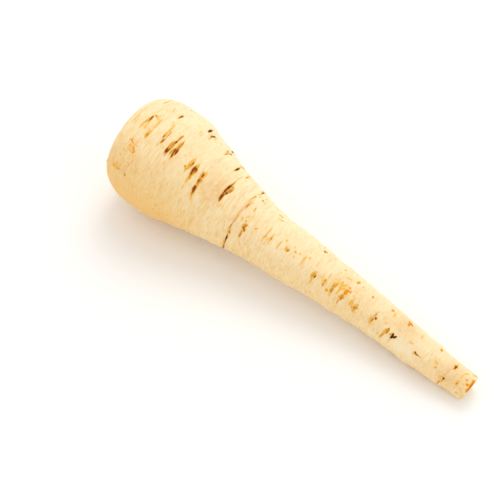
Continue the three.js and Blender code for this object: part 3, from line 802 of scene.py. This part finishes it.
class Nodes:
    """Short names for building a node tree."""

    def __init__(self, name):
        self.material = bpy.data.materials.new(name)
        self.material.use_nodes = True
        self.tree = self.material.node_tree
        self.shader = self.tree.nodes["Principled BSDF"]

    def new(self, kind, **settings):
        node = self.tree.nodes.new(kind)
        for key, value in settings.items():
            setattr(node, key, value)
        return node

    def put(self, socket, value):
        if isinstance(value, bpy.types.NodeSocket):
            self.tree.links.new(value, socket)
        else:
            socket.default_value = value

    def attribute(self, name, output="Fac"):
        return self.new("ShaderNodeAttribute", attribute_name=name).outputs[output]

    def math(self, operation, a, b, c=0.0):
        node = self.new("ShaderNodeMath", operation=operation)
        for socket, value in zip(node.inputs, (a, b, c)):
            self.put(socket, value)
        return node.outputs[0]

    def scaled(self, vector, x, y, z):
        node = self.new("ShaderNodeVectorMath", operation="MULTIPLY")
        self.put(node.inputs[0], vector)
        self.put(node.inputs[1], (x, y, z))
        return node.outputs[0]

    def noise(self, vector, scale, detail, roughness):
        node = self.new("ShaderNodeTexNoise")
        for name, value in (("Vector", vector), ("Scale", scale), ("Detail", detail),
                            ("Roughness", roughness)):
            self.put(node.inputs[name], value)
        return node.outputs["Fac"]

    def ramp(self, value, low, high, first=0.0, last=1.0):
        """Smooth step of a value from low to high."""
        node = self.new("ShaderNodeMapRange", interpolation_type="SMOOTHSTEP")
        for name, given in (("Value", value), ("From Min", low), ("From Max", high), ("To Min", first),
                            ("To Max", last)):
            self.put(node.inputs[name], given)
        return node.outputs["Result"]

    def mix(self, factor, a, b):
        node = self.new("ShaderNodeMix", data_type="RGBA")
        self.put(node.inputs[0], factor)
        self.put(node.inputs[6], a)
        self.put(node.inputs[7], b)
        return node.outputs[2]

    def over(self, colour, tint, mask, strength):
        """A colour with a tint over it where a mask shows."""
        return self.mix(self.math("MULTIPLY", mask, strength), colour, tint)

    def bump(self, height, distance, strength):
        node = self.new("ShaderNodeBump")
        self.put(node.inputs["Height"], height)
        self.put(node.inputs["Distance"], distance)
        self.put(node.inputs["Strength"], strength)
        return node.outputs["Normal"]


CREAM = linear(248, 221, 168)
CREAM_PALE = linear(253, 236, 198)
CREAM_DEEP = linear(242, 204, 142)
CREAM_GOLD = linear(240, 196, 120)
# Painted shade: the warmer, deeper tint laid on the underside.
PAINTED_UNDER_SHADE = linear(240, 188, 96)
TAN = linear(232, 184, 118)
OCHRE = linear(222, 158, 66)
GOLD = linear(240, 181, 40)
GOLD_DEEP = linear(222, 146, 24)
ORANGE = linear(246, 152, 12)
RUST_PALE = linear(214, 142, 66)
RUST = linear(180, 88, 10)
SCAR_BROWN = linear(142, 64, 0)
SCAR_BLACK = linear(62, 24, 6)
STUB_BROWN = linear(104, 66, 34)
CUT_FLESH = linear(246, 228, 186)
CUT_YELLOW = linear(226, 180, 96)
CORK_PALE = linear(208, 168, 112)
CORK = linear(146, 108, 70)
CORK_DARK = linear(78, 52, 34)

# Noises of the skin: scale along the root and both ways across it, then overall scale, detail, roughness.
NOISES = {
    "strand": ((1.25, 0.18, 0.18), 1.0, 2.0, 0.6),
    "streak": ((1.5, 0.1, 0.1), 1.7, 3.0, 0.6),
    "fine_streak": ((5.0, 0.5, 0.5), 1.0, 2.0, 0.6),
    "patch": ((0.05, 0.035, 0.035), 1.0, 3.0, 0.55),
    "mottle": ((0.5, 0.2, 0.2), 1.0, 3.0, 0.6),
    "blotch": ((0.3, 0.22, 0.22), 1.0, 3.0, 0.65),
    "grain": ((1.0, 0.22, 0.22), 1.0, 3.0, 0.7),
    "fleck": ((0.6, 0.45, 0.45), 1.0, 3.0, 0.6),
    "speck": ((1.0, 1.0, 1.0), 1.0, 1.0, 0.5),
}
# Layers of the bare skin over its cream, in order: noise, where it starts and is full, strength and colour.
SKIN_LAYERS = (
    ("patch", 0.38, 0.66, 0.5, CREAM_DEEP),
    ("mottle", 0.5, 0.75, 0.5, CREAM_PALE),
    ("streak", 0.46, 0.66, 0.5, CREAM_PALE),
    ("streak", 0.44, 0.3, 0.55, CREAM_DEEP),
    ("fine_streak", 0.5, 0.75, 0.35, CREAM_DEEP),
    ("blotch", 0.5, 0.72, 0.6, CREAM_GOLD),
    ("grain", 0.5, 0.72, 0.65, CREAM_GOLD),
    ("grain", 0.5, 0.28, 0.65, CREAM_PALE),
)
# How strongly each field covers what lies under it.
# The upper field is painted light and the under field is painted shade.
PAINTED_LIGHT_STRENGTH = 0.5
UNDER_SHADE_STRENGTH = 0.75
SCRATCH_STRENGTH = 0.8
FRECKLE_STRENGTH = 0.9
CLOUD_STRENGTH = 0.85
SMUDGE_STRENGTH = 0.6
STUB_STRENGTH = 0.85
# Tints of the marks, in order: what roughens the field of each, by how much, where its edge starts, where it
# is full, and its strength.
MARK_LOOKS = {
    "gold": ("threads", 2.0, -0.4, 0.32, 0.8),
    "orange": ("crumbs", 1.0, -0.3, 0.12, 1.0),
    "rust": ("threads", 1.8, -0.3, 0.22, 0.68),
    "brown": ("threads", 1.4, -0.25, 0.18, 0.95),
    "black": ("threads", 1.0, -0.2, 0.1, 0.95),
}
THREAD_SHARE = 0.35
CORE_SHARE = 0.6
CORE_SINK = -1.2
BUMP_DISTANCE = 0.15 * MM
BUMP_STRENGTH = 0.8
SKIN_SPECULAR = 0.12
SUBSURFACE_WEIGHT = 0.1
SUBSURFACE_REACH = (1.0, 0.5, 0.2)
FLOOR_SIZE = 6.0
FLOOR_SPECULAR = 0.1
FLOOR_ROUGHNESS = 0.8


def bare_skin(n, noises):
    """Colour of the skin without its marks, with painted light on its upper side and on the lower flank, and
    painted shade on its underside.
    """
    colour = CREAM
    for noise, low, high, strength, over in SKIN_LAYERS:
        colour = n.mix(n.ramp(noises[noise], low, high, 0.0, strength), colour, over)
    # Painted light: a paler tint on the side that faces up towards the light.
    colour = n.over(colour, CREAM_PALE, n.attribute("upper"), PAINTED_LIGHT_STRENGTH)
    # Painted shade: the underside's warmer, deeper tint.
    colour = n.over(colour, PAINTED_UNDER_SHADE, n.attribute("under"), UNDER_SHADE_STRENGTH)
    colour = n.over(colour, TAN, n.attribute("tan"), n.ramp(noises["blotch"], 0.3, 0.6, 0.6, 1.0))
    # Pale regions of the skin; the one on the lower flank is painted light.
    colour = n.mix(n.attribute("pale"), colour, CREAM_PALE)
    scratched = n.math("MULTIPLY", n.attribute("line"), n.ramp(noises["fine_streak"], 0.35, 0.65))
    return n.over(colour, OCHRE, scratched, SCRATCH_STRENGTH)


def spotted_skin(n, noises, colour):
    """Freckles, golden clouds and brown smudges over a colour."""
    fleck = noises["fleck"]
    near = n.ramp(n.attribute("freckle"), 0.1, 0.8)
    freckled = n.math("MULTIPLY", n.ramp(noises["speck"], 0.56, 0.68), near)
    colour = n.over(colour, ORANGE, freckled, FRECKLE_STRENGTH)
    cloud = n.ramp(n.math("MULTIPLY_ADD", n.attribute("cloud"), 0.3, fleck), 0.68, 0.86)
    colour = n.over(colour, GOLD, cloud, CLOUD_STRENGTH)
    smudge = n.math("MULTIPLY", n.attribute("smudge"), n.ramp(fleck, 0.35, 0.6))
    return n.over(colour, RUST_PALE, smudge, SMUDGE_STRENGTH)


def marked_skin(n, noises, colour):
    """The marks' tints and the stubs over a colour, and where the marks' dark cores are."""
    base = n.math("MULTIPLY_ADD", noises["strand"], 1.0, -(1 + THREAD_SHARE) / 2)
    threads = n.math("MULTIPLY_ADD", noises["fine_streak"], THREAD_SHARE, base)
    roughened = {"threads": threads, "crumbs": n.math("SUBTRACT", noises["speck"], 0.5)}
    rusty = n.mix(n.ramp(threads, -0.06, 0.16), GOLD_DEEP, RUST)
    tints = {"gold": GOLD, "orange": ORANGE, "rust": rusty, "brown": SCAR_BROWN, "black": SCAR_BLACK}
    masks = {}
    for tint, (roughening, by, low, high, strength) in MARK_LOOKS.items():
        field = n.attribute("mark_" + tint)
        masks[tint] = n.ramp(n.math("MULTIPLY_ADD", roughened[roughening], by, field), low, high)
        colour = n.over(colour, tints[tint], masks[tint], strength)
    core = n.math("MAXIMUM", n.math("MULTIPLY", masks["brown"], CORE_SHARE), masks["black"])
    stubs = n.ramp(n.attribute("stub_top"), 0.3, 0.8, 0.0, STUB_STRENGTH)
    return n.mix(stubs, colour, STUB_BROWN), core


def cut_ends(n, fleck, colour):
    """The cork of the crown and the flesh of the cut tip over a colour."""
    cork = n.ramp(n.math("MULTIPLY_ADD", fleck, 1.2, n.attribute("cork")), 0.75, 1.45)
    middle = n.ramp(n.math("MULTIPLY_ADD", fleck, 0.6, n.attribute("cork_middle")), 0.3, 1.1)
    hollow = n.math("MULTIPLY", n.attribute("hollow"), n.ramp(fleck, 0.3, 0.6, 0.3, 0.9))
    corky = n.mix(hollow, n.mix(middle, CORK_PALE, CORK), CORK_DARK)
    colour = n.mix(cork, colour, corky)
    yellow = n.math("MULTIPLY", n.attribute("cut_yellow"), n.ramp(fleck, 0.3, 0.7, 0.4, 0.9))
    return n.mix(n.attribute("cut"), colour, n.mix(yellow, CUT_FLESH, CUT_YELLOW))


def skin_material():
    n = Nodes("parsnip_skin")
    grown = n.attribute("grown", "Vector")
    noises = {name: n.noise(n.scaled(grown, *stretch), *look) for name, (stretch, *look) in NOISES.items()}
    colour = spotted_skin(n, noises, bare_skin(n, noises))
    colour, core = marked_skin(n, noises, colour)
    colour = cut_ends(n, noises["fleck"], colour)
    height = n.math("MULTIPLY_ADD", noises["fine_streak"], 0.5, noises["streak"])
    height = n.math("MULTIPLY_ADD", core, CORE_SINK, height)

    n.put(n.shader.inputs["Base Color"], colour)
    n.put(n.shader.inputs["Roughness"], n.ramp(noises["streak"], 0.3, 0.75, 0.42, 0.62))
    n.put(n.shader.inputs["Normal"], n.bump(height, BUMP_DISTANCE, BUMP_STRENGTH))
    n.shader.inputs["Specular IOR Level"].default_value = SKIN_SPECULAR
    n.shader.inputs["Subsurface Weight"].default_value = SUBSURFACE_WEIGHT
    n.shader.inputs["Subsurface Radius"].default_value = SUBSURFACE_REACH
    n.shader.inputs["Subsurface Scale"].default_value = MM
    return n.material


def floor_material():
    n = Nodes("pale_floor")
    place = n.new("ShaderNodeTexCoord").outputs["Object"]
    shade = n.noise(place, 6.0, 2.0, 0.5)
    n.put(n.shader.inputs["Base Color"], n.mix(shade, linear(250, 249, 247), linear(252, 251, 250)))
    n.shader.inputs["Roughness"].default_value = FLOOR_ROUGHNESS
    n.shader.inputs["Specular IOR Level"].default_value = FLOOR_SPECULAR
    return n.material


# ---------------------------------------------------------------- pieces
def skin_fields(skin):
    """What the skin's material reads at each point, by name."""
    station, radius, degree = skin.station[:, None], skin.radius[:, None], skin.degree[None, :]
    kinds = (SKIN, CROWN_KIND, CUT_KIND)
    on_skin, on_crown, on_cut = (np.where(skin.kind == kind, 1.0, 0.0)[:, None] for kind in kinds)
    fields = {"mark_" + tint: field for tint, field in skin.marks.items()}
    fields["stub_top"] = skin.stub_top
    fields["line"] = skin.line
    for name, regions in REGIONS.items():
        fields[name] = on_skin * spread(regions, station, degree)
    # Painted shade on the underside, strongest near the crown, and painted light on the upper side.
    near_crown = np.clip((UNDER_SHADE_FADE[1] - station) / (UNDER_SHADE_FADE[1] - UNDER_SHADE_FADE[0]), UNDER_SHADE_LEAST, 1)
    fields["under"] = near_crown * facing(degree, UNDER_SHADE_DEGREE) ** 2
    fields["upper"] = facing(degree, PAINTED_LIGHT_DEGREE) ** 2
    fields["cork"] = on_crown * np.clip((CORK_RADIUS - radius) / CORK_FADE, 0, 1)
    fields["cork_middle"] = on_crown * np.clip(1 - radius / CORK_RADIUS, 0, 1)
    drifted = radius + HOLLOW_DRIFT * np.sin(np.radians(STALK_LUMPS * degree) + radius)
    fields["hollow"] = on_crown * sum(bell((drifted - at) / half_width) for at, half_width in STALK_HOLLOWS)
    share = radius / radius[skin.kind == CUT_KIND].max()
    ring_at, ring_half_width = CUT_RING
    fields["cut"] = on_cut * np.clip((1 - share) / (1 - CUT_RIM), 0, 1)
    ring = bell((share - ring_at) / ring_half_width)
    fields["cut_yellow"] = on_cut * np.maximum(bell(share / CUT_CORE), ring)
    return fields


def make_root():
    skin = grown_skin()
    points = skin.points()
    mesh = grid_mesh("root_skin", lay_down(points) * MM)
    grown = points.copy()
    grown[..., 0] = skin.path[:, None]
    vector_attribute(mesh, "grown", collapse(grown))
    for name, field in skin_fields(skin).items():
        float_attribute(mesh, name, collapse(np.broadcast_to(field, skin.height.shape)))
    mesh.polygons.foreach_set("use_smooth", np.ones(len(mesh.polygons), dtype=bool))
    root = bpy.data.objects.new("root_skin", mesh)
    bpy.context.scene.collection.objects.link(root)
    root.data.materials.append(skin_material())
    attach(root, "root")
    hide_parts("parsnip_root")


def make_floor():
    bpy.ops.mesh.primitive_plane_add(size=FLOOR_SIZE, location=(0, 0, 0))
    floor = bpy.context.object
    floor.name = "floor"
    floor.data.materials.append(floor_material())


# ---------------------------------------------------------------- camera and light
CAMERA_AZIMUTH = 38.58
CAMERA_ELEVATION = 54.67
CAMERA_DISTANCE = 0.7154
CAMERA_AIM = Vector((-0.02013, -0.01131, 0.0185))
CAMERA_LENS = 100.0
CAMERA_SENSOR = 36.0
CAMERA_CLIP_START = 0.01
PICTURE_SIZE = 500
SKY_COLOUR = (1.0, 0.995, 0.99, 1.0)
SKY_STRENGTH = 0.93
KEY_AZIMUTH = 195
KEY_ELEVATION = 58
KEY_DISTANCE = 1.4
KEY_SIZE = 0.9
KEY_POWER = 5.2
KEY_COLOUR = (1.0, 0.98, 0.95)


def direction(azimuth, elevation):
    a, e = math.radians(azimuth), math.radians(elevation)
    return Vector((math.sin(a) * math.cos(e), -math.cos(a) * math.cos(e), math.sin(e)))


def stand(item, azimuth, elevation, distance, aim):
    """Puts a camera or a lamp into the scene, at a distance from what it looks at."""
    back = direction(azimuth, elevation)
    item.location = aim + back * distance
    item.rotation_euler = back.to_track_quat("Z", "Y").to_euler()
    bpy.context.scene.collection.objects.link(item)


def make_camera():
    data = bpy.data.cameras.new("camera")
    data.lens = CAMERA_LENS
    data.sensor_width = CAMERA_SENSOR
    data.clip_start = CAMERA_CLIP_START
    camera = bpy.data.objects.new("camera", data)
    stand(camera, CAMERA_AZIMUTH, CAMERA_ELEVATION, CAMERA_DISTANCE, CAMERA_AIM)
    bpy.context.scene.camera = camera


def make_light():
    """An even pale sky and one soft disc of light."""
    world = bpy.data.worlds.new("studio")
    world.use_nodes = True
    background = world.node_tree.nodes["Background"]
    background.inputs["Color"].default_value = SKY_COLOUR
    background.inputs["Strength"].default_value = SKY_STRENGTH
    bpy.context.scene.world = world
    data = bpy.data.lights.new("key", "AREA")
    data.shape = "DISK"
    data.size = KEY_SIZE
    data.energy = KEY_POWER
    data.color = KEY_COLOUR
    light = bpy.data.objects.new("key", data)
    stand(light, KEY_AZIMUTH, KEY_ELEVATION, KEY_DISTANCE, Vector((0, 0, 0)))
    bpy.context.scene.view_settings.view_transform = "Standard"
    bpy.context.scene.view_settings.look = "None"


make_root()
make_floor()
make_camera()
make_light()
